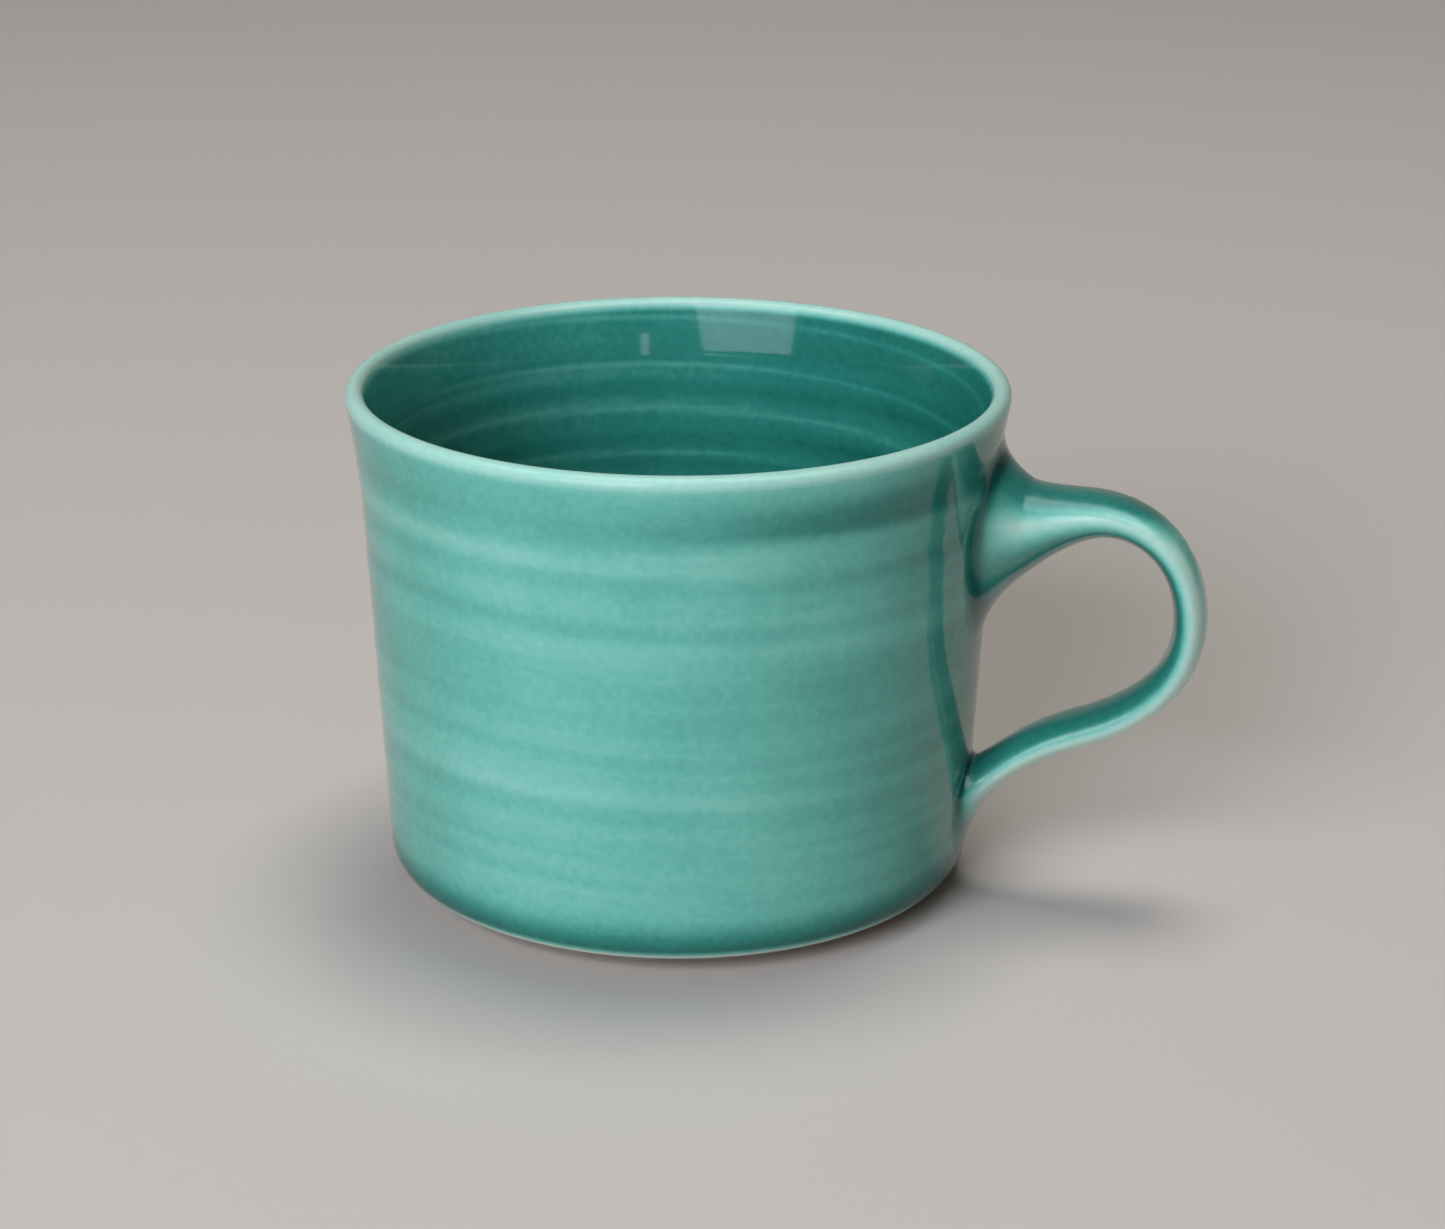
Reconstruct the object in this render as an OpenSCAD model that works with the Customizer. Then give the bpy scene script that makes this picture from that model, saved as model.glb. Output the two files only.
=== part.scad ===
// Wheel-thrown porcelain mug with a pulled side handle and a glossy glaze.
// Millimetres, +Z up. Origin: centre of the flat foot, on the cup's axis. Handle along +X.

/* [Cup] */
// Diameter across the outside of the rim, glaze included
rim_d = 92; // [88:0.5:97]
// Height from the foot to the top of the lip
height = 72.6; // [68:0.2:80]
// Diameter of the wall where it leaves the rounded bottom edge
base_d = 82.6; // [79:0.2:84]
// Outward lean of the straight part of the wall, in degrees
wall_lean = 3.1; // [2.4:0.1:3.6]
// Height at which the wall starts to flare towards the rim
flare_z = 54; // [48:1:56]
// Radius of the rounded bottom edge
base_corner_r = 4.2; // [3:0.1:6]
// Thickness of the lip, glaze included
lip_t = 2.7; // [2.4:0.1:3]
// Thickness of the wall below the lip, glaze included
wall_t = 3.4; // [3.2:0.1:4.4]
// Height at which the inside starts to flare and the wall thins towards the lip
inner_flare_z = 60; // [57:1:63]
// Height of the inside floor above the foot
floor_t = 6; // [5:0.1:8]
// Radius of the sweep between the inside floor and the wall
inner_corner_r = 10; // [6:0.5:14]

/* [Foot] */
// Diameter of the flat turned foot
foot_d = 60; // [54:1:70]
// Height of the foot, up to the underside of the rounded edge
foot_h = 2.3; // [1.5:0.1:3.5]
// Chamfer round the foot where the clay was wiped
foot_chamfer = 0.5; // [0.2:0.1:1]

/* [Glaze] */
// Thickness of the fired glaze
glaze_t = 0.3; // [0.2:0.05:0.4]
// How far down the rounded edge the outer glaze runs, in degrees below level
glaze_stop = 58; // [45:1:70]

/* [Handle] */
// Thickness of the pulled strap, glaze included
strap_t = 4.1; // [3.6:0.1:5]
// Width of the pulled strap, glaze included
strap_w = 9.2; // [7:0.1:11]
// How much thicker the strap is round its lower bend
bend_t = 0.8; // [0:0.1:1]
// How much deeper the strap grows where it meets the wall at the top
root_flare_t = 25; // [18:0.5:26]
// How much wider the strap grows there
root_flare_w = 11; // [8:0.5:13]
// Distance over which the top flare dies away
root_reach = 7.2; // [6:0.1:8]
// How much deeper and wider the strap grows at its lower end
tail_flare = 3; // [2:0.5:5]
// Distance over which the lower flare dies away
tail_reach = 2.6; // [2:0.1:3.5]

/* [Hidden] */

clay_colour = [0.87, 0.83, 0.76];
slip_colour = [0.80, 0.76, 0.69];
outer_colour = [0.39, 0.67, 0.58];
liner_colour = [0.13, 0.42, 0.37];

// The handle's middle line, in the XZ plane: four cubic curves that run from inside the
// wall at the root, over the arch, down the outer bow and along the arm back into the wall.
handle_line = [
    [[40.5, 55.3], [46.5, 53.8], [54, 57.3], [59, 57.3]],
    [[59, 57.3], [66.2, 57.3], [71.9, 51.4], [71.9, 42.7]],
    [[71.9, 42.7], [71.9, 33.8], [64.9, 28.7], [57.9, 26.1]],
    [[57.9, 26.1], [49.6, 23], [47.6, 20.8], [38.6, 13]]
];
line_end = len(handle_line);
root_point = [42, 53.2];
tail_point = [41.6, 15.6];
// Place of the thicker lower bend along the line, and how far it spreads
bend_at = 2.9;
bend_reach = 0.8;
// Where the handle's own clay starts and ends along the line; the joints fill the rest
handle_start = 0.4;
handle_end = 3.76;
root_rings = 8;
strap_rings = 33;
tail_rings = 4;
ring_sides = 28;
// Oval openings in the outer glaze where the joints sit on the wall: middle, then [width, depth]
root_window_z = root_point[1] + 0.7;
root_window = [strap_w + 0.85 * root_flare_w, strap_t + 0.75 * root_flare_t];
tail_window_z = tail_point[1];
tail_window = [strap_w + 0.95 * tail_flare, strap_t + 1.15 * tail_flare];

// ---- Cup outline. Every curve takes an inset, so that clay and glaze share one outline. ----
lip_r = lip_t / 2;
wall_normal = [cos(wall_lean), -sin(wall_lean)];
wall_up = [sin(wall_lean), cos(wall_lean)];
base_centre = [base_d / 2 - base_corner_r, foot_h + base_corner_r];
wall_foot = base_centre + base_corner_r * wall_normal;
flare_start = wall_foot + wall_up * (flare_z - wall_foot[1]) / cos(wall_lean);
lip_centre = [rim_d / 2 - lip_r, height - lip_r];
// The flare is the arc that leaves the straight wall and runs into the round lip, both tangent
lip_offset = flare_start - lip_centre;
flare_r = (lip_offset * lip_offset - lip_r * lip_r) / (2 * (lip_r - lip_offset * wall_normal));
flare_centre = flare_start + flare_r * wall_normal;
lip_heading = lip_centre - flare_centre;
lip_angle = atan2(lip_heading[1], lip_heading[0]);
inner_wall = wall_foot - wall_t * wall_normal;
// The inside has a tighter arc of its own, tangent to the inner wall and to the lip
inner_flare_start = inner_wall + wall_up * (inner_flare_z - inner_wall[1]) / cos(wall_lean);
inner_lip_offset = inner_flare_start - lip_centre;
inner_flare_r = (inner_lip_offset * inner_lip_offset - lip_r * lip_r)
    / (-2 * (lip_r + inner_lip_offset * wall_normal));
inner_flare_centre = inner_flare_start + inner_flare_r * wall_normal;
inner_lip_heading = lip_centre - inner_flare_centre;
inner_lip_angle = atan2(inner_lip_heading[1], inner_lip_heading[0]);
inner_centre_z = floor_t + inner_corner_r;
inner_centre = [(inner_wall * wall_normal - inner_corner_r + inner_centre_z * sin(wall_lean))
                / cos(wall_lean), inner_centre_z];

function arc(centre, r, from, to, steps) =
    [for (i = [0 : steps]) let (a = from + (to - from) * i / steps)
        centre + r * [cos(a), sin(a)]];

// Outside of the cup from the rounded edge up to the crest of the lip
function outside(inset, start) = concat(
    arc(base_centre, base_corner_r - inset, -start, -wall_lean, 8),
    arc(flare_centre, flare_r + inset, 180 - wall_lean, lip_angle, 6),
    arc(lip_centre, lip_r - inset, lip_angle - 180, 90, 7));

// Inside of the cup from the crest of the lip down to the middle of the floor
function inside(inset) = concat(
    arc(lip_centre, lip_r - inset, 90, inner_lip_angle, 6),
    arc(inner_flare_centre, inner_flare_r - inset, inner_lip_angle, 180 - wall_lean, 8),
    arc(inner_centre, inner_corner_r + inset, -wall_lean, -90, 10),
    [[0, floor_t - inset]]);

function tail_of(points) = [for (i = [1 : len(points) - 1]) points[i]];
function backwards(points) = [for (i = [len(points) - 1 : -1 : 0]) points[i]];

// Turned solid with its seam on the side away from the handle
module turned(points) {
    rotate([0, 0, 180])
        rotate_extrude($fn = 96)
            polygon(points);
}

// The whole cup without its hollow, which trims whatever butts against the wall
module cup_form(inset) {
    turned(concat([[0, foot_h + inset]], outside(inset, 90), [[0, height - inset]]));
}

// ---- Handle sections ----
function along(p, t) = pow(1 - t, 3) * p[0] + 3 * t * pow(1 - t, 2) * p[1]
    + 3 * t * t * (1 - t) * p[2] + pow(t, 3) * p[3];
function heading(p, t) = pow(1 - t, 2) * (p[1] - p[0]) + 2 * t * (1 - t) * (p[2] - p[1])
    + t * t * (p[3] - p[2]);
function piece_of(u) = min(floor(u), line_end - 1);

// One oval section, square to the line, at u along it
function section(u, inset) =
    let (k = piece_of(u),
         p = along(handle_line[k], u - k),
         h = heading(handle_line[k], u - k),
         side = [-h[1], h[0]] / norm(h),
         root = exp(-norm(p - root_point) / root_reach),
         foot = exp(-norm(p - tail_point) / tail_reach),
         bend = exp(-pow((u - bend_at) / bend_reach, 2)),
         t = strap_t + bend_t * bend + root_flare_t * root + tail_flare * foot - 2 * inset,
         w = strap_w + root_flare_w * root + tail_flare * foot - 2 * inset)
    [for (i = [0 : ring_sides - 1]) let (a = 360 * i / ring_sides, q = p + side * cos(a) * t / 2)
        [q[0], sin(a) * w / 2, q[1]]];

function steps_between(from, to, count) = [for (i = [0 : count]) from + (to - from) * i / count];
root_steps = steps_between(0, handle_start, root_rings);
strap_steps = steps_between(handle_start, handle_end, strap_rings);
tail_steps = steps_between(handle_end, line_end, tail_rings);
all_steps = concat(root_steps, tail_of(strap_steps), tail_of(tail_steps));

// Triangles of the band between ring a and ring b, whose points start at those numbers
function band(a, b) = [for (i = [0 : ring_sides - 1]) let (j = (i + 1) % ring_sides)
    each [[a + i, b + i, b + j], [a + i, b + j, a + j]]];

// Solid swept through the sections at the given steps
module swept(steps, inset) {
    last = len(steps) - 1;
    points = [for (u = steps) each section(u, inset)];
    sides = [for (k = [0 : last - 1]) each band(k * ring_sides, (k + 1) * ring_sides)];
    first_cap = [for (i = [0 : ring_sides - 1]) i];
    last_cap = [for (i = [ring_sides - 1 : -1 : 0]) last * ring_sides + i];
    polyhedron(points, concat(sides, [first_cap, last_cap]), convexity = 6);
}

// Skin between the glazed surface and the clay, open at both ends
module swept_skin(steps) {
    last = len(steps) - 1;
    inner = len(steps) * ring_sides;
    points = concat([for (u = steps) each section(u, 0)], [for (u = steps) each section(u, glaze_t)]);
    outer_faces = [for (k = [0 : last - 1]) each band(k * ring_sides, (k + 1) * ring_sides)];
    inner_faces = [for (k = [0 : last - 1])
        each band(inner + (k + 1) * ring_sides, inner + k * ring_sides)];
    rims = concat(band(inner, 0), band(last * ring_sides, inner + last * ring_sides));
    polyhedron(points, concat(outer_faces, inner_faces, rims), convexity = 8);
}

// Oval opening along X in the outer glaze, where a joint is stuck to the bare wall
module window(z, size) {
    outline = [for (i = [0 : ring_sides - 1]) let (a = 360 * i / ring_sides)
        [cos(a) * size[0] / 2, sin(a) * size[1] / 2]];
    translate([0, 0, z])
        rotate([90, 0, 90])
            linear_extrude(rim_d)
                polygon(outline);
}

// ---- The pieces ----
module thrown_cup() {
    foot = [[0, 0], [foot_d / 2 - foot_chamfer, 0], [foot_d / 2, foot_chamfer],
            [foot_d / 2, foot_h + glaze_t]];
    color(clay_colour)
        turned(concat(foot, outside(glaze_t, 90), tail_of(inside(glaze_t))));
}

module pulled_handle() {
    color(clay_colour)
        swept(strap_steps, glaze_t);
}

module upper_slip_joint() {
    color(slip_colour)
        difference() {
            swept(root_steps, glaze_t);
            cup_form(glaze_t);
        }
}

module lower_slip_joint() {
    color(slip_colour)
        difference() {
            swept(tail_steps, glaze_t);
            cup_form(glaze_t);
        }
}

module outer_glaze() {
    color(outer_colour)
        difference() {
            turned(concat(outside(0, glaze_stop), backwards(outside(glaze_t, glaze_stop))));
            window(root_window_z, root_window);
            window(tail_window_z, tail_window);
        }
}

module liner_glaze() {
    color(liner_colour)
        turned(concat(inside(0), backwards(inside(glaze_t))));
}

module handle_glaze() {
    color(outer_colour)
        difference() {
            swept_skin(all_steps);
            cup_form(0);
        }
}

thrown_cup();
pulled_handle();
upper_slip_joint();
lower_slip_joint();
outer_glaze();
liner_glaze();
handle_glaze();
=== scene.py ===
import math

import bmesh
import bpy
from mathutils import Matrix, Vector, noise


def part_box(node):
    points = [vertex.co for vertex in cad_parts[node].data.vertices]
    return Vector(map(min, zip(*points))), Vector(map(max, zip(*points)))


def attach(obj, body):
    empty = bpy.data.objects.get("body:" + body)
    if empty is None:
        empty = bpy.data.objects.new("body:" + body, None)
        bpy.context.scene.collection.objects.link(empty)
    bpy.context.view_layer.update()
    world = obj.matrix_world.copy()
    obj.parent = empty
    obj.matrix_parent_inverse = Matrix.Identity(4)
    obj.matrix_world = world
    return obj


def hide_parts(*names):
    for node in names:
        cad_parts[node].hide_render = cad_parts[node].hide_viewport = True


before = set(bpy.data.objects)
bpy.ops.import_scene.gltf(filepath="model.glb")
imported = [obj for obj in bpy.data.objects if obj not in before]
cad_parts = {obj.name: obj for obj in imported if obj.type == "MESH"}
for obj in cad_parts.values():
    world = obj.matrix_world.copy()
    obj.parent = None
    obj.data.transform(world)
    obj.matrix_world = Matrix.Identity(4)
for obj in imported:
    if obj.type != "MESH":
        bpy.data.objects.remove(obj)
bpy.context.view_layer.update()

# ---------------------------------------------------------------- dimensions
MM = 0.001
TURN = 2 * math.pi

# Cup: the rim and the height come from the frame, the rest are the potter's sizes
RIM_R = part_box("outer_glaze")[1][0]
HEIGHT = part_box("outer_glaze")[1][2]
LEAN = math.radians(3.1)
BASE_R = 41.3 * MM
CORNER_R = 4.2 * MM
FOOT_H = 2.3 * MM
FLARE_Z = 54 * MM
INNER_FLARE_Z = 60 * MM
LIP_R = 1.35 * MM
WALL_T = 3.4 * MM
FLOOR_T = 6 * MM
INNER_CORNER_R = 10 * MM
GLAZE_T = 0.3 * MM
GLAZE_STOP = math.radians(58)
# The outer coat wraps over the lip and ends this far down the inner flare
LAP_ANGLE = math.radians(3)

# Handle: the strap's thickness and width, and how it flares into the wall at both ends
STRAP_T, STRAP_W = 4.1 * MM, 9.2 * MM
ROOT_FLARE_T, ROOT_FLARE_W, ROOT_REACH = 25 * MM, 11 * MM, 7.2 * MM
TAIL_FLARE, TAIL_REACH = 3 * MM, 2.6 * MM
ROOT_POINT = Vector((42, 0, 53.2)) * MM
TAIL_POINT = Vector((41.6, 0, 15.6)) * MM
# Middle line in the XZ plane, in millimetres: root, shoulder, bow and lower arm. A place on it is u, from 0
# at the root to 4 at the tail
HANDLE_LINE = [
    [(40.5, 55.3), (46.5, 53.8), (54, 57.3), (59, 57.3)],
    [(59, 57.3), (66.2, 57.3), (71.9, 51.4), (71.9, 42.7)],
    [(71.9, 42.7), (71.9, 33.8), (64.9, 28.7), (57.9, 26.1)],
    [(57.9, 26.1), (49.6, 23), (47.6, 20.8), (38.6, 13)],
]
# The strap is this much thicker round its lower bend
BEND_T, BEND_AT, BEND_REACH = 0.8 * MM, 2.9, 0.8
# Stretches of u, each from a place inside the wall to one that is clear of it
ROOT_STRETCH = (0.02, 0.95)
TAIL_STRETCH = (4, 3.2)
# Fillets onto the wall, in millimetres: how far off the wall they leave the strap, and how far they spread
# over the wall. The second number is what is added under the root and under the tail
ROOT_RISE, ROOT_SPREAD = (5.2, 0.6), (3.4, 2.6)
TAIL_RISE, TAIL_SPREAD = (1.5, 3.2), (1.4, 5.8)
# The fillets' edge ends just under the wall's face, and their hollow is filled out a little
EDGE_SINK, FILLET_FILL = 0.1 * MM, 0.45 * MM

# Mesh fineness
SPIN_STEPS = 288
CORNER_STEPS, WALL_STEPS, FLARE_STEPS, LIP_STEPS = 16, 84, 30, 14
CREST_STEPS, LAP_STEPS = 12, 10
INNER_FLARE_STEPS, INNER_WALL_STEPS, INNER_CORNER_STEPS, FLOOR_STEPS = 60, 64, 18, 24
SIDES = 64
STRAP_STEPS = 110
BLEND_STEPS = 14
# Halvings of a stretch of the handle's line, to find where it leaves the wall
HALVINGS = 30
# Edges sharper than this stay crisp
SHARP = math.radians(40)

# Finger rings: their height, how many millimetres they sway, and how soon the sway and the rings change
# round the cup
RING_HEIGHT = 0.055 * MM
RING_SWAY, SWAY_SCALE, RING_SCALE = 1.5, 14, 7
# They begin between these heights, and end between these depths below the rim
RINGS_BEGIN, RINGS_END = (6 * MM, 12 * MM), (9 * MM, 4 * MM)
OUTER_SEED, LINER_SEED = 3.0, 11.0
# Fine spiral ridge left inside by the potter's finger, in millimetres
SPIRAL_PITCH, SPIRAL_WIDTH = 6.8, 0.45

# Glaze depth runs from 0, where it has drained thin and pale, to 1, where it has pooled dark. Some of it is
# painted shade and painted light, noted where it is added.
# Heights are in millimetres, and sides in degrees round from the handle: the front is near -90
WALL_DEPTH, WALL_RING_DEPTH = 0.47, 0.075
# Painted shade: the outer wall is made deeper, and so darker, away from the front, up to a limit
FRONT_SIDE, TURNED_SHADE, TURNED_SHADE_LIMIT = -88, 0.4, 0.12
# Two bands under the lip, as the heights where each begins, is whole, begins to fade and is gone
DARK_BAND = (61.2, 64.2, 66.2, 70.6)
PALE_BAND = (56.5, 59.5, 60.6, 63)
BAND_SWAY, BAND_SWAY_SCALE, BAND_SEED = 1.2, 18, 4.0
# Each band's even part and its patches, a patch as its depth, its side and how narrow it is. The dark
# band's patch on the right is painted shade, and the pale band's patch on the left is painted light
DARK_EVEN, DARK_RIGHT_SHADE, DARK_LEFT = -0.03, (0.32, -46, 8), (0.06, -130, 12)
PALE_EVEN, PALE_LEFT_LIGHT = 0.01, (0.12, -128, 5)
# The glaze gathers in a roll above its bottom edge and is thin on the edge itself
ROLL_DEPTH, ROLL_HEIGHTS = 0.4, (4.6, 10)
BOTTOM_THINNING, THIN_HEIGHTS = 1.1, (3, 4.9)
# Inside, it is deepest beside the handle, and thinner on the ridge, which fades out low down
INSIDE_DEPTH, INSIDE_RING_DEPTH = 0.79, 0.08
INSIDE_SIDE, INSIDE_SIDE_DEPTH = 10, 0.16
RIDGE_DEPTH, RIDGE_HEIGHTS = 0.1, (10, 30)
# The lip is thin from its crest down to between these depths below the rim
LIP_DEPTH, LIP_OUTSIDE, LIP_INSIDE = 0.22, (0.9, 2.6), (0.6, 2)
# Handle: over its side edges, then what is added on its outer face, its top and its inner face, and how
# squarely a place must look that way before that begins and is whole
# The pale side edges are thin glaze and partly a painted highlight; the dark top is deeper glaze and partly
# a painted dark reflection
EDGE_DEPTH_AND_HIGHLIGHT = 0.15
OUTER_DEPTH, OUTER_FACING = 0.3, (0.65, 0.95)
TOP_DEPTH_AND_DARK_REFLECTION, TOP_FACING = 0.68, (0.1, 0.8)
BOW_DEPTH, BOW_FACING = 0.66, (-0.3, 0.6)
# Crease round each joint, as a place from the wall's edge at 0 to the strap at 1
CREASE_DEPTH, CREASE_AT, CREASE_REACH = 0.42, 0.32, 0.17


def ease(low, high, x):
    """0 below low, 1 above high and smooth between."""
    t = min(max((x - low) / (high - low), 0), 1)
    return t * t * (3 - 2 * t)


def mix(a, b, t):
    return a + (b - a) * t


# ---------------------------------------------------------------- cup outline
def arc(centre, radius, start, end, steps):
    """Points along an arc in the XZ plane."""
    angles = [mix(start, end, i / steps) for i in range(steps + 1)]
    return [centre + radius * Vector((math.cos(a), 0, math.sin(a))) for a in angles]


def line(start, end, steps):
    """Points between start and end, without the two ends."""
    return [start.lerp(end, i / steps) for i in range(1, steps)]


def angle_of(heading):
    return math.atan2(heading.z, heading.x)


# Straight wall: its outward and upward headings, and its foot, where it leaves the bottom corner
WALL_NORMAL = Vector((math.cos(LEAN), 0, -math.sin(LEAN)))
WALL_UP = Vector((math.sin(LEAN), 0, math.cos(LEAN)))
BASE_CENTRE = Vector((BASE_R - CORNER_R, 0, FOOT_H + CORNER_R))
WALL_FOOT = BASE_CENTRE + CORNER_R * WALL_NORMAL
LIP_CENTRE = Vector((RIM_R - LIP_R, 0, HEIGHT - LIP_R))

# Outer flare: the arc that leaves the straight wall and runs into the round lip
FLARE_START = WALL_FOOT + WALL_UP * (FLARE_Z - WALL_FOOT.z) / math.cos(LEAN)
LIP_OFFSET = FLARE_START - LIP_CENTRE
FLARE_R = (LIP_OFFSET.length_squared - LIP_R ** 2) / (2 * (LIP_R - LIP_OFFSET.dot(WALL_NORMAL)))
FLARE_CENTRE = FLARE_START + FLARE_R * WALL_NORMAL
LIP_ANGLE = angle_of(LIP_CENTRE - FLARE_CENTRE)

# Inner flare: a tighter arc, so that the wall thins towards the lip
INNER_WALL = WALL_FOOT - WALL_T * WALL_NORMAL
INNER_START = INNER_WALL + WALL_UP * (INNER_FLARE_Z - INNER_WALL.z) / math.cos(LEAN)
INNER_OFFSET = INNER_START - LIP_CENTRE
INNER_FLARE_R = ((INNER_OFFSET.length_squared - LIP_R ** 2)
                 / (-2 * (LIP_R + INNER_OFFSET.dot(WALL_NORMAL))))
INNER_FLARE_CENTRE = INNER_START + INNER_FLARE_R * WALL_NORMAL
INNER_LIP_ANGLE = angle_of(LIP_CENTRE - INNER_FLARE_CENTRE)
INNER_Z = FLOOR_T + INNER_CORNER_R
INNER_CENTRE = Vector(((INNER_WALL.dot(WALL_NORMAL) - INNER_CORNER_R + INNER_Z * math.sin(LEAN))
                       / math.cos(LEAN), 0, INNER_Z))


def outside(inset):
    """Outer face from the rounded bottom edge up to the crest of the lip."""
    corner = arc(BASE_CENTRE, CORNER_R - inset, -GLAZE_STOP, -LEAN, CORNER_STEPS)
    flare = arc(FLARE_CENTRE, FLARE_R + inset, math.pi - LEAN, LIP_ANGLE, FLARE_STEPS)
    lip = arc(LIP_CENTRE, LIP_R - inset, LIP_ANGLE - math.pi, math.pi / 2, LIP_STEPS)
    return corner + line(corner[-1], flare[0], WALL_STEPS) + flare[:-1] + lip


def over_lip(inset):
    """From the crest of the lip down the inside to the lap."""
    crest = arc(LIP_CENTRE, LIP_R - inset, math.pi / 2, INNER_LIP_ANGLE, CREST_STEPS)
    lap = arc(INNER_FLARE_CENTRE, INNER_FLARE_R - inset,
              INNER_LIP_ANGLE, INNER_LIP_ANGLE + LAP_ANGLE, LAP_STEPS)
    return crest[1:] + lap[1:]


def inside(inset):
    """Inner face from the lap down to the middle of the floor."""
    flare = arc(INNER_FLARE_CENTRE, INNER_FLARE_R - inset,
                INNER_LIP_ANGLE + LAP_ANGLE, math.pi - LEAN, INNER_FLARE_STEPS)
    wall_end = arc(INNER_CENTRE, INNER_CORNER_R + inset, -LEAN, -math.pi / 2, INNER_CORNER_STEPS)
    middle = Vector((0, 0, FLOOR_T - inset))
    wall = line(flare[-1], wall_end[0], INNER_WALL_STEPS)
    return flare + wall + wall_end + line(wall_end[-1], middle, FLOOR_STEPS) + [middle]


def wall_radius(z):
    """Radius of the glazed outer wall at height z."""
    if z < FLARE_Z:
        return WALL_FOOT.x + (z - WALL_FOOT.z) * math.tan(LEAN)
    return FLARE_CENTRE.x - math.sqrt(FLARE_R ** 2 - (z - FLARE_CENTRE.z) ** 2)


# ---------------------------------------------------------------- handle shape
def along(u):
    """Point and heading on the handle's middle line, whose four curves each take 1 of u."""
    k = min(int(u), len(HANDLE_LINE) - 1)
    t = u - k
    p = [Vector((x, 0, z)) * MM for x, z in HANDLE_LINE[k]]
    point = (1 - t) ** 3 * p[0] + 3 * t * (1 - t) ** 2 * p[1] + 3 * t * t * (1 - t) * p[2] + t ** 3 * p[3]
    ahead = (1 - t) ** 2 * (p[1] - p[0]) + 2 * t * (1 - t) * (p[2] - p[1]) + t * t * (p[3] - p[2])
    return point, ahead.normalized()


def rail(u, a):
    """Point on the glazed handle at u along its line and angle a round its oval section."""
    point, ahead = along(u)
    outward = Vector((-ahead.z, 0, ahead.x))
    root = math.exp(-(point - ROOT_POINT).length / ROOT_REACH)
    tail = math.exp(-(point - TAIL_POINT).length / TAIL_REACH)
    bend = math.exp(-((u - BEND_AT) / BEND_REACH) ** 2)
    thick = STRAP_T + BEND_T * bend + ROOT_FLARE_T * root + TAIL_FLARE * tail
    wide = STRAP_W + ROOT_FLARE_W * root + TAIL_FLARE * tail
    return point + outward * math.cos(a) * thick / 2 + Vector((0, math.sin(a) * wide / 2, 0))


def crossing(a, stretch, clearance):
    """Where the rail at angle a stands the given distance off the wall, by halving a stretch of u."""
    inside_u, outside_u = stretch
    for _ in range(HALVINGS):
        middle = (inside_u + outside_u) / 2
        p = rail(middle, a)
        if math.hypot(p.x, p.y) - wall_radius(p.z) < clearance:
            inside_u = middle
        else:
            outside_u = middle
    return (inside_u + outside_u) / 2


def on_wall(p, depth=0.0):
    """The point of the outer wall level with p, or one that far under its face, or over it if negative."""
    around = math.atan2(p.y, p.x)
    r = wall_radius(p.z) - depth
    return Vector((r * math.cos(around), r * math.sin(around), p.z))


def fillet(a, stretch, rise, spread, centre):
    """Points that carry a rail smoothly onto the wall, wall end first, and where it leaves the strap."""
    u = crossing(a, stretch, rise)
    top = rail(u, a)
    corner = on_wall(rail(crossing(a, stretch, 0), a))
    out = Vector((corner.x, corner.y, 0)).normalized()
    away = corner - centre
    away = (away - away.dot(out) * out).normalized()
    end = on_wall(corner + away * spread, EDGE_SINK)
    corner = on_wall(corner, -FILLET_FILL)
    steps = [i / BLEND_STEPS for i in range(BLEND_STEPS + 1)]
    return [(1 - t) ** 2 * end + 2 * t * (1 - t) * corner + t * t * top for t in steps], u


def handle_column(a):
    """Points along one side of the handle, from the root's edge on the wall to the tail's."""
    inner = 0.5 - 0.5 * math.cos(a)
    outer = 1 - inner
    rise = (ROOT_RISE[0] + ROOT_RISE[1] * inner) * MM
    spread = (ROOT_SPREAD[0] + ROOT_SPREAD[1] * inner) * MM
    root, u_root = fillet(a, ROOT_STRETCH, rise, spread, on_wall(ROOT_POINT))
    rise = (TAIL_RISE[0] + TAIL_RISE[1] * outer) * MM
    spread = (TAIL_SPREAD[0] + TAIL_SPREAD[1] * outer ** 2) * MM
    tail, u_tail = fillet(a, TAIL_STRETCH, rise, spread, on_wall(TAIL_POINT))
    strap = [rail(mix(u_root, u_tail, k / STRAP_STEPS), a) for k in range(1, STRAP_STEPS)]
    return root + strap + tail[::-1]


HANDLE_RINGS = list(zip(*[handle_column(TURN * i / SIDES) for i in range(SIDES)]))


# ---------------------------------------------------------------- throwing marks, glaze depth and painted light and shade
def ring_wave(p, seed):
    """The potter's finger rings: uneven bands that wander round the cup, about -1 to 1."""
    z = p.z / MM + RING_SWAY * noise.noise(Vector((p.x * SWAY_SCALE, p.y * SWAY_SCALE, seed)))
    x, y = p.x * RING_SCALE, p.y * RING_SCALE
    coarse = noise.noise(Vector((x, y, z * 0.2 + seed)))
    middle = noise.noise(Vector((2 * x, 2 * y, z * 0.43 - seed)))
    fine = noise.noise(Vector((3 * x, 3 * y, z * 1.1 + 2 * seed)))
    return 1.1 * coarse + 0.9 * middle + 0.35 * fine


def faded_wave(p, seed):
    """The finger rings with the bottom edge and the lip left smooth."""
    fade = ease(*RINGS_BEGIN, p.z) * (1 - ease(HEIGHT - RINGS_END[0], HEIGHT - RINGS_END[1], p.z))
    return ring_wave(p, seed) * fade


def side(p, azimuth):
    """1 on the side of the cup at that azimuth, in degrees from the handle, and 0 opposite it."""
    return 0.5 + 0.5 * math.cos(math.atan2(p.y, p.x) - math.radians(azimuth))


def band(z, sway, heights):
    """1 in the band and 0 outside it; the sway moves its two edges apart."""
    begins, whole, fades, gone = heights
    return ease(begins, whole, z + sway) * (1 - ease(fades, gone, z - sway))


def patch(p, depth, azimuth, narrowness):
    """Depth added on one side of the cup: glaze depth, except that the dark band's right patch is painted
    shade and the pale band's left patch is painted light.
    """
    return depth * side(p, azimuth) ** narrowness


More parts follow.
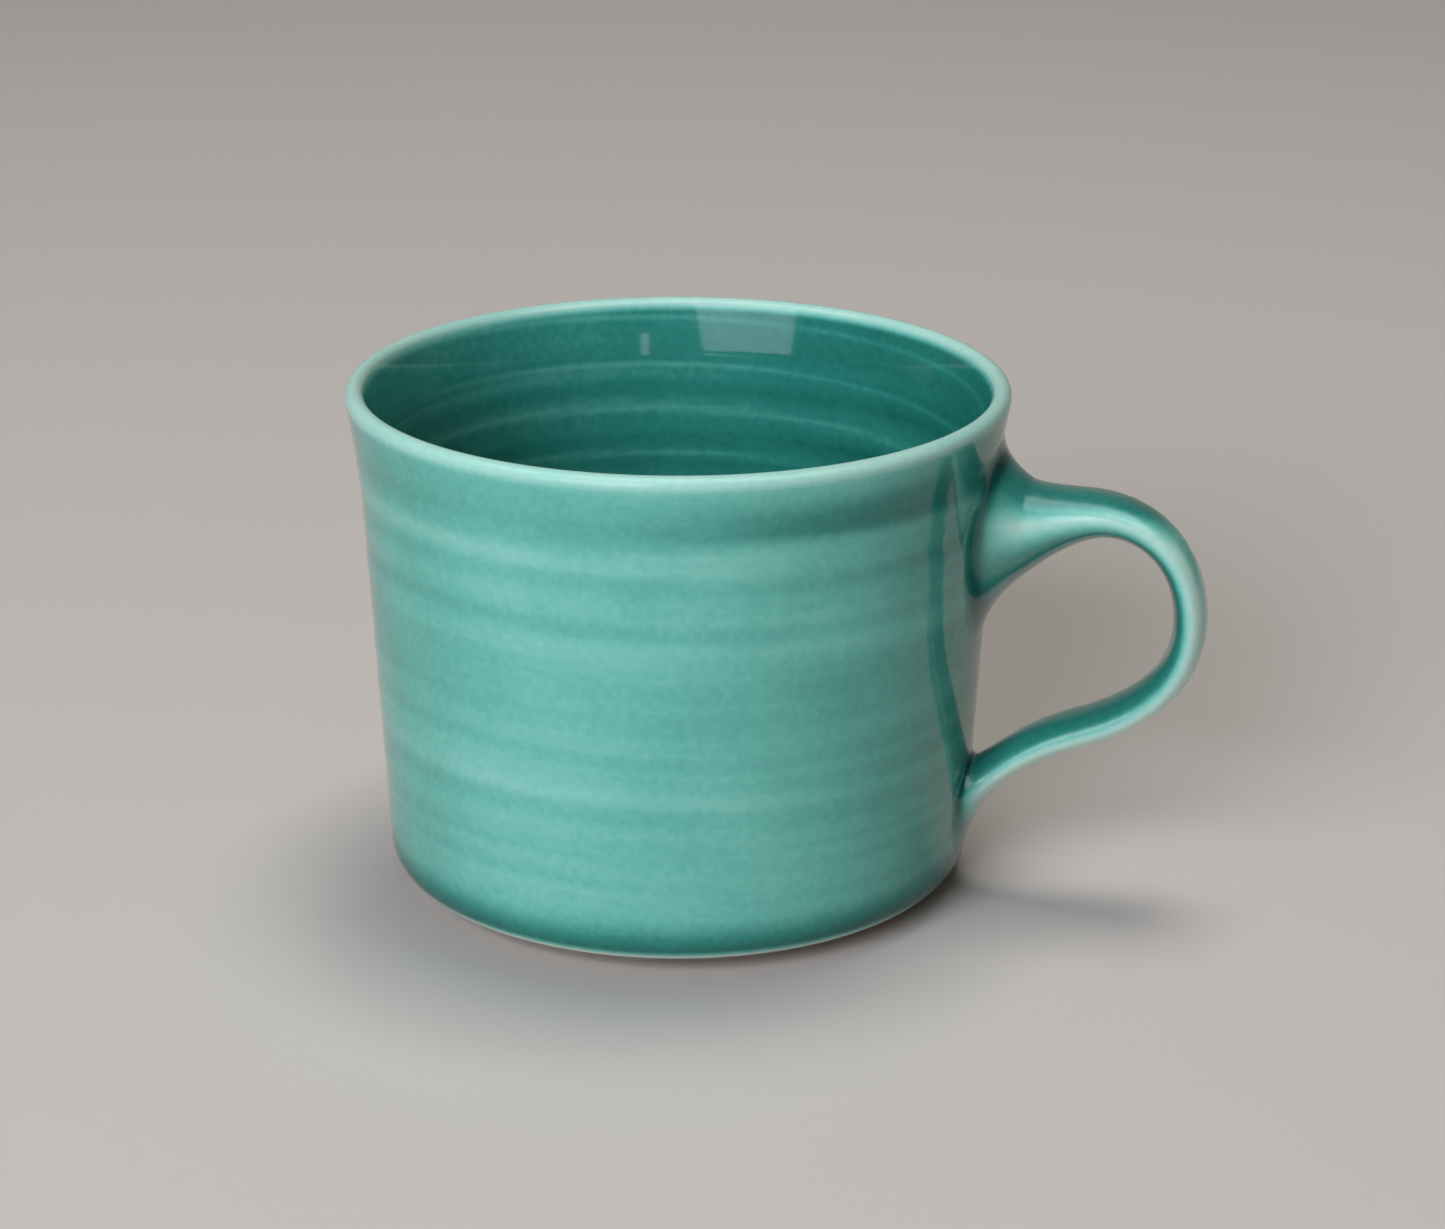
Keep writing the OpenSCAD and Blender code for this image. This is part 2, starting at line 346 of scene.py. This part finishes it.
def depth_inside(p, ring):
    """Glaze depth inside the cup below the lip."""
    z = p.z / MM
    turns = z / SPIRAL_PITCH - math.atan2(p.y, p.x) / TURN
    ridge = math.exp(-((turns - round(turns)) * SPIRAL_PITCH / SPIRAL_WIDTH) ** 2)
    depth = INSIDE_DEPTH + INSIDE_SIDE_DEPTH * (side(p, INSIDE_SIDE) - 0.5)
    return depth - INSIDE_RING_DEPTH * ring - RIDGE_DEPTH * ridge * ease(*RIDGE_HEIGHTS, z)


def outside_depth_and_painted_light(p, ring):
    """Glaze depth on the outer wall below the lip, with its two bands and its rolled bottom edge, plus
    painted shade away from the front and on the dark band's right side, and painted light in the pale
    band's left patch.
    """
    z = p.z / MM
    sway = BAND_SWAY * noise.noise(Vector((p.x * BAND_SWAY_SCALE, p.y * BAND_SWAY_SCALE, BAND_SEED)))
    depth = WALL_DEPTH - WALL_RING_DEPTH * ring
    # Painted shade: darker away from the front
    depth += min(TURNED_SHADE_LIMIT, TURNED_SHADE * (1 - side(p, FRONT_SIDE)))
    # The dark band's right patch is painted shade
    depth += (DARK_EVEN + patch(p, *DARK_RIGHT_SHADE) + patch(p, *DARK_LEFT)) * band(z, sway, DARK_BAND)
    # The pale band's left patch is painted light
    depth -= (PALE_EVEN + patch(p, *PALE_LEFT_LIGHT)) * band(z, -sway, PALE_BAND)
    depth += ROLL_DEPTH * (1 - ease(*ROLL_HEIGHTS, z))
    return depth - BOTTOM_THINNING * (1 - ease(*THIN_HEIGHTS, z))


def glaze_depth_and_painted_light(p, ring):
    """Glaze depth on the cup, outside and inside, thinnest over the lip; on the outside it also carries
    painted light and shade.
    """
    below_rim = (HEIGHT - p.z) / MM
    if math.hypot(p.x, p.y) < wall_radius(p.z) - LIP_R:
        return mix(LIP_DEPTH, depth_inside(p, ring), ease(*LIP_INSIDE, below_rim))
    return mix(LIP_DEPTH, outside_depth_and_painted_light(p, ring), ease(*LIP_OUTSIDE, below_rim))


def from_end(step):
    """How many rings that ring of the handle is from the nearer end."""
    return min(step, len(HANDLE_RINGS) - 1 - step)


def handle_depth_and_painted_light(step, i):
    """Glaze depth on the handle: thin over the edges, deeper on top, in the bow and in the creases. The
    pale edges are partly a painted highlight and the dark top partly a painted dark reflection.
    """
    ring = HANDLE_RINGS[step]
    face = math.cos(TURN * i / SIDES)
    up = (ring[0] - ring[SIDES // 2]).normalized().z * face
    # Pale edges partly painted highlight, dark top partly painted dark reflection
    strap = EDGE_DEPTH_AND_HIGHLIGHT + max(TOP_DEPTH_AND_DARK_REFLECTION * ease(*TOP_FACING, up), BOW_DEPTH * ease(*BOW_FACING, -face),
                             OUTER_DEPTH * ease(*OUTER_FACING, face))
    blend = from_end(step) / BLEND_STEPS
    if blend > 1:
        return strap
    gathered = CREASE_DEPTH * math.exp(-((blend - CREASE_AT) / CREASE_REACH) ** 2)
    wall = glaze_depth_and_painted_light(ring[i], faded_wave(ring[i], OUTER_SEED))
    return mix(wall, strap, ease(0, 1, blend)) + gathered


# ---------------------------------------------------------------- mesh helpers
def piece_from(bm, name, replaced, material):
    """Makes a named piece that stands for one node of the frame."""
    mesh = bpy.data.meshes.new(name)
    bm.to_mesh(mesh)
    bm.free()
    mesh.materials.append(material)
    piece = bpy.data.objects.new(name, mesh)
    bpy.context.scene.collection.objects.link(piece)
    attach(piece, "root")
    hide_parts(replaced)
    return piece


def smooth_faces(bm):
    """Smooth shading, with crisp edges where faces meet at more than the sharp angle."""
    bmesh.ops.recalc_face_normals(bm, faces=bm.faces[:])
    for face in bm.faces:
        face.smooth = True
    for edge in bm.edges:
        edge.smooth = edge.calc_face_angle(0) < SHARP


def turn_outline(points):
    """Spins a closed outline round the cup's axis into a closed smooth solid."""
    bm = bmesh.new()
    ring = [bm.verts.new(p) for p in points]
    chain = [bm.edges.new(pair) for pair in zip(ring, ring[1:])]
    if points[0].x > GLAZE_T and points[-1].x > GLAZE_T:
        chain.append(bm.edges.new((ring[-1], ring[0])))
    bmesh.ops.spin(bm, geom=ring + chain, cent=(0, 0, 0), axis=(0, 0, 1), dvec=(0, 0, 0),
                   angle=TURN, steps=SPIN_STEPS, use_merge=True)
    bmesh.ops.remove_doubles(bm, verts=bm.verts[:], dist=1e-6)
    bmesh.ops.dissolve_degenerate(bm, edges=bm.edges[:], dist=1e-7)
    return bm


def glaze_coat(outline, seed, name, replaced, material):
    """A turned skin of glaze that carries the throwing rings and its own depth, which on the outside
    includes painted light and shade.
    """
    bm = turn_outline(outline)
    pool = bm.verts.layers.float.new("pool")
    for v in bm.verts:
        ring = faded_wave(v.co, seed)
        v[pool] = glaze_depth_and_painted_light(v.co, ring)
        if v.co.z > FLOOR_T + MM:
            v.co += Vector((v.co.x, v.co.y, 0)).normalized() * ring * RING_HEIGHT
    smooth_faces(bm)
    return piece_from(bm, name, replaced, material)


def handle_coat(material):
    """Extrudes a ring of edges along the handle, moves each ring into place and gives it a wall.

    Its satin attribute is 0 on the wall, where the coat is as glossy as the cup's, and 1 on the strap.
    """
    bm = bmesh.new()
    pool = bm.verts.layers.float.new("pool")
    satin = bm.verts.layers.float.new("satin")
    loop = bmesh.ops.create_circle(bm, cap_ends=False, segments=SIDES, radius=STRAP_W)["verts"]
    edges = bm.edges[:]
    for step, ring in enumerate(HANDLE_RINGS):
        if step:
            made = bmesh.ops.extrude_edge_only(bm, edges=edges)["geom"]
            loop = [g for g in made if isinstance(g, bmesh.types.BMVert)]
            edges = [g for g in made if isinstance(g, bmesh.types.BMEdge)
                     and g.verts[0] in loop and g.verts[1] in loop]
        for i, (vert, place) in enumerate(zip(loop, ring)):
            vert.co = place
            vert[pool] = handle_depth_and_painted_light(step, i)
            vert[satin] = ease(0, BLEND_STEPS, from_end(step))
    smooth_faces(bm)
    piece = piece_from(bm, "handle_glaze_coat", "handle_glaze", material)
    wall = piece.modifiers.new("glaze_thickness", "SOLIDIFY")
    wall.thickness = GLAZE_T
    wall.offset = -1
    return piece


# ---------------------------------------------------------------- shader helpers
class Wire:
    """A node socket that takes part in arithmetic by adding Math nodes."""

    def __init__(self, material, socket):
        self.material, self.socket = material, socket

    def math(self, operation, *others):
        values = {i: value for i, value in enumerate((self,) + others)}
        return self.material.node("ShaderNodeMath", {"operation": operation}, values)[0]

    def __add__(self, other):
        return self.math("ADD", other)

    __radd__ = __add__

    def __mul__(self, other):
        return self.math("MULTIPLY", other)

    __rmul__ = __mul__

    def __sub__(self, other):
        return self.math("SUBTRACT", other)

    def __rsub__(self, other):
        return (self * -1.0).math("ADD", other)

    def ramp(self, low, high):
        """0 below low, 1 above high and smooth between."""
        return self.material.node("ShaderNodeMapRange", {"interpolation_type": "SMOOTHSTEP"},
                                  {"Value": self, "From Min": low, "From Max": high})[0]

    def clamp(self):
        return self.math("MINIMUM", 1.0).math("MAXIMUM", 0.0)


class Material:
    """A node material that is built one call at a time."""

    def __init__(self, name):
        self.data = bpy.data.materials.new(name)
        self.data.use_nodes = True
        self.tree = self.data.node_tree
        self.tree.nodes.clear()
        self.output = self.tree.nodes.new("ShaderNodeOutputMaterial")

    def node(self, kind, settings=None, values=None):
        """Adds a node: its settings first, then the values or links of its sockets."""
        made = self.tree.nodes.new(kind)
        for key, value in (settings or {}).items():
            if key == "stops":
                elements = made.color_ramp.elements
                while len(elements) < len(value):
                    elements.new(0.5)
                for element, (place, colour) in zip(elements, value):
                    element.position = place
                    element.color = (*colour, 1)
            else:
                setattr(made, key, value)
        for key, value in (values or {}).items():
            if isinstance(value, Wire):
                self.tree.links.new(value.socket, made.inputs[key])
            else:
                made.inputs[key].default_value = value
        return [Wire(self, s) for s in made.outputs]

    def place(self):
        """Object coordinates."""
        return self.node("ShaderNodeTexCoord")[3]

    def noise(self, scale, detail):
        return self.node("ShaderNodeTexNoise", None,
                         {"Vector": self.place(), "Scale": scale, "Detail": detail})[0]

    def blend(self, factor, a, b):
        """Colour a where factor is 0 and b where it is 1."""
        return self.node("ShaderNodeMix", {"data_type": "RGBA"}, {0: factor, 6: a, 7: b})[2]

    def ramp(self, factor, stops):
        return self.node("ShaderNodeValToRGB", {"stops": stops}, {"Fac": factor})[0]

    def finish(self, values):
        shader = self.node("ShaderNodeBsdfPrincipled", None, values)[0]
        self.tree.links.new(shader.socket, self.output.inputs["Surface"])
        return self.data


def screen(r, g, b):
    """Linear colour from a screen colour in 0..255."""
    return tuple((c / 255 / 12.92) if c <= 10 else ((c / 255 + 0.055) / 1.055) ** 2.4 for c in (r, g, b))


# ---------------------------------------------------------------- finishes
def jade_glaze():
    """Glossy celadon: pale where it has drained thin, deep green where it has pooled, and lighter or darker
    where painted light and shade are set into that depth.
    """
    m = Material("jade_glaze")
    pool = m.node("ShaderNodeAttribute", {"attribute_name": "pool"})[2]
    mottle = m.noise(850.0, 3.0)
    cloud = m.noise(55.0, 2.0)
    depth = pool + (mottle - 0.5) * 0.14 + (cloud - 0.5) * 0.16
    glass = m.ramp(depth.clamp(), [
        (0.0, screen(214, 210, 190)), (0.12, screen(174, 206, 192)), (0.33, screen(128, 188, 175)),
        (0.5, screen(92, 166, 152)), (0.75, screen(42, 122, 110)), (1.0, screen(10, 76, 70))])
    speck_distance = m.node("ShaderNodeTexVoronoi", None, {"Vector": m.place(), "Scale": 70.0})[0]
    specks = 1 - speck_distance.ramp(0.012, 0.03)
    chosen = m.noise(32.0, 0.0).ramp(0.56, 0.6)
    colour = m.blend(specks * chosen * 0.7, glass, (*screen(104, 96, 52), 1))
    ripple = m.noise(240.0, 1.0)
    bump = m.node("ShaderNodeBump", None, {"Height": ripple, "Distance": 0.02 * MM, "Strength": 0.5})[0]
    satin = m.node("ShaderNodeAttribute", {"attribute_name": "satin"})[2]
    return m.finish({"Base Color": colour, "Roughness": satin * 0.14 + 0.08, "IOR": 1.5,
                     "Coat Weight": satin, "Coat Roughness": 0.22, "Normal": bump})


def bare_porcelain():
    """Dry white clay with fine grain, faint turning lines and a warm blush at the glaze line."""
    m = Material("bare_porcelain")
    grain = m.noise(1400.0, 4.0)
    level = m.node("ShaderNodeSeparateXYZ", None, {"Vector": m.place()})
    flat = m.node("ShaderNodeVectorMath", {"operation": "MULTIPLY"}, {0: m.place(), 1: (1, 1, 0)})[0]
    radius = m.node("ShaderNodeVectorMath", {"operation": "LENGTH"}, {0: flat})[1]
    turning = (radius * (TURN / (0.9 * MM)) + m.noise(90.0, 1.0) * 5).math("SINE")
    clay = m.ramp(grain, [(0.3, screen(200, 190, 170)), (0.7, screen(222, 214, 198))])
    blush = level[2].ramp(1.2 * MM, 2.6 * MM) * (1 - level[2].ramp(3.2 * MM, 4 * MM))
    colour = m.blend(blush * 0.25, clay, (*screen(176, 138, 100), 1))
    bump = m.node("ShaderNodeBump", None, {
        "Height": grain + turning * 0.5, "Distance": 0.04 * MM, "Strength": 0.5})[0]
    return m.finish({"Base Color": colour, "Roughness": 0.72, "Normal": bump})


# ---------------------------------------------------------------- pieces
glaze = jade_glaze()
clay = bare_porcelain()

outer_outline = outside(0) + over_lip(0) + (outside(GLAZE_T) + over_lip(GLAZE_T))[::-1]
outer_coat = glaze_coat(outer_outline, OUTER_SEED, "outer_glaze_coat", "outer_glaze", glaze)
liner_outline = inside(0) + inside(GLAZE_T)[::-1]
liner_coat = glaze_coat(liner_outline, LINER_SEED, "liner_glaze_coat", "liner_glaze", glaze)
handle = handle_coat(glaze)

for name in ("thrown_cup", "pulled_handle", "upper_slip_joint", "lower_slip_joint"):
    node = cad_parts[name]
    node.data.materials.clear()
    node.data.materials.append(clay)

# ---------------------------------------------------------------- studio
CAMERA_TURN = math.radians(12)
CAMERA_TILT = math.radians(19.8)
CAMERA_ROLL = 0.0037
CAMERA_PLACE = (0.1029, -0.4543, 0.2057)
# Both in millimetres
SENSOR_WIDTH, FOCAL_LENGTH = 36, 87.2

COOL_DAYLIGHT = (0.94, 1.0, 1.1)
SKYLIGHT = (0.95, 1.0, 1.07)
ROOM_WHITE = (1.0, 0.98, 0.96)
WARM_ROOM = (1.0, 0.88, 0.74)


def studio_sweep():
    """A plain pale floor that curves up into a backdrop, square to the camera."""
    m = Material("pale_floor")
    paper = m.finish({"Base Color": (*screen(186, 179, 173), 1), "Roughness": 0.9})
    front, back, bend, top, half = -1.6, 1.1, 0.6, 2.4, 2.4
    curve = arc(Vector((0, 0, 0)), bend, -math.pi / 2, 0, 16)
    outline = [Vector((0, front, 0))] + [Vector((0, back + p.x, bend + p.z)) for p in curve]
    outline.append(Vector((0, back + bend, top)))
    bm = bmesh.new()
    verts = [bm.verts.new(p - Vector((half, 0, 0))) for p in outline]
    edges = [bm.edges.new(pair) for pair in zip(verts, verts[1:])]
    made = bmesh.ops.extrude_edge_only(bm, edges=edges)["geom"]
    far_side = [g for g in made if isinstance(g, bmesh.types.BMVert)]
    bmesh.ops.translate(bm, verts=far_side, vec=(2 * half, 0, 0))
    bmesh.ops.rotate(bm, verts=bm.verts[:], cent=(0, 0, 0), matrix=Matrix.Rotation(CAMERA_TURN, 3, "Z"))
    smooth_faces(bm)
    mesh = bpy.data.meshes.new("studio_sweep")
    bm.to_mesh(mesh)
    bm.free()
    mesh.materials.append(paper)
    floor = bpy.data.objects.new("studio_sweep", mesh)
    bpy.context.scene.collection.objects.link(floor)


def soft_light(name, azimuth, elevation, distance, size, power, colour, mirrored=True, spreads=True):
    """Rectangular soft light that faces the mug.

    azimuth is in degrees from the camera's own side, and grows towards the left of its view. mirrored is
    whether the glaze shows the light as a reflection, and spreads whether the light brightens surfaces.
    """
    data = bpy.data.lights.new(name, "AREA")
    data.shape = "RECTANGLE"
    data.size, data.size_y = size
    data.energy = power
    data.color = colour
    light = bpy.data.objects.new(name, data)
    bpy.context.scene.collection.objects.link(light)
    around = -math.pi / 2 + CAMERA_TURN - math.radians(azimuth)
    up = math.radians(elevation)
    light.location = distance * Vector((math.cos(around) * math.cos(up), math.sin(around) * math.cos(up),
                                        math.sin(up)))
    light.visible_glossy = mirrored
    light.visible_diffuse = spreads
    aim = Vector((0, 0, HEIGHT / 2)) - light.location
    light.rotation_euler = aim.to_track_quat("-Z", "Y").to_euler()


def room_glow(colour, strength):
    """Even light from every side."""
    world = bpy.data.worlds.new("room")
    world.use_nodes = True
    background = world.node_tree.nodes["Background"]
    background.inputs["Color"].default_value = (*colour, 1)
    background.inputs["Strength"].default_value = strength
    bpy.context.scene.world = world


def camera():
    data = bpy.data.cameras.new("camera")
    data.sensor_width = SENSOR_WIDTH
    data.lens = FOCAL_LENGTH
    made = bpy.data.objects.new("camera", data)
    bpy.context.scene.collection.objects.link(made)
    made.matrix_world = (Matrix.Translation(CAMERA_PLACE)
                         @ Matrix.Rotation(CAMERA_TURN, 4, "Z")
                         @ Matrix.Rotation(math.pi / 2 - CAMERA_TILT, 4, "X")
                         @ Matrix.Rotation(CAMERA_ROLL, 4, "Z"))
    bpy.context.scene.camera = made


studio_sweep()
soft_light("window_light", azimuth=27, elevation=25, distance=0.95, size=(0.62, 0.56), power=2.2,
           colour=COOL_DAYLIGHT)
soft_light("window_spread", azimuth=27, elevation=29, distance=2, size=(1.1, 0.9), power=34,
           colour=COOL_DAYLIGHT, mirrored=False)
soft_light("upper_pane", azimuth=10, elevation=76, distance=1, size=(1.7, 0.8), power=7,
           colour=SKYLIGHT, spreads=False)
soft_light("ceiling_bounce", azimuth=-150, elevation=82, distance=1.6, size=(0.6, 0.6), power=14,
           colour=ROOM_WHITE, mirrored=False)
soft_light("side_pane", azimuth=-14, elevation=13, distance=1.2, size=(0.07, 0.24), power=0.12,
           colour=(0.95, 1.0, 1.05))
room_glow(WARM_ROOM, 0.03)
camera()
bpy.context.scene.view_settings.view_transform = "Standard"
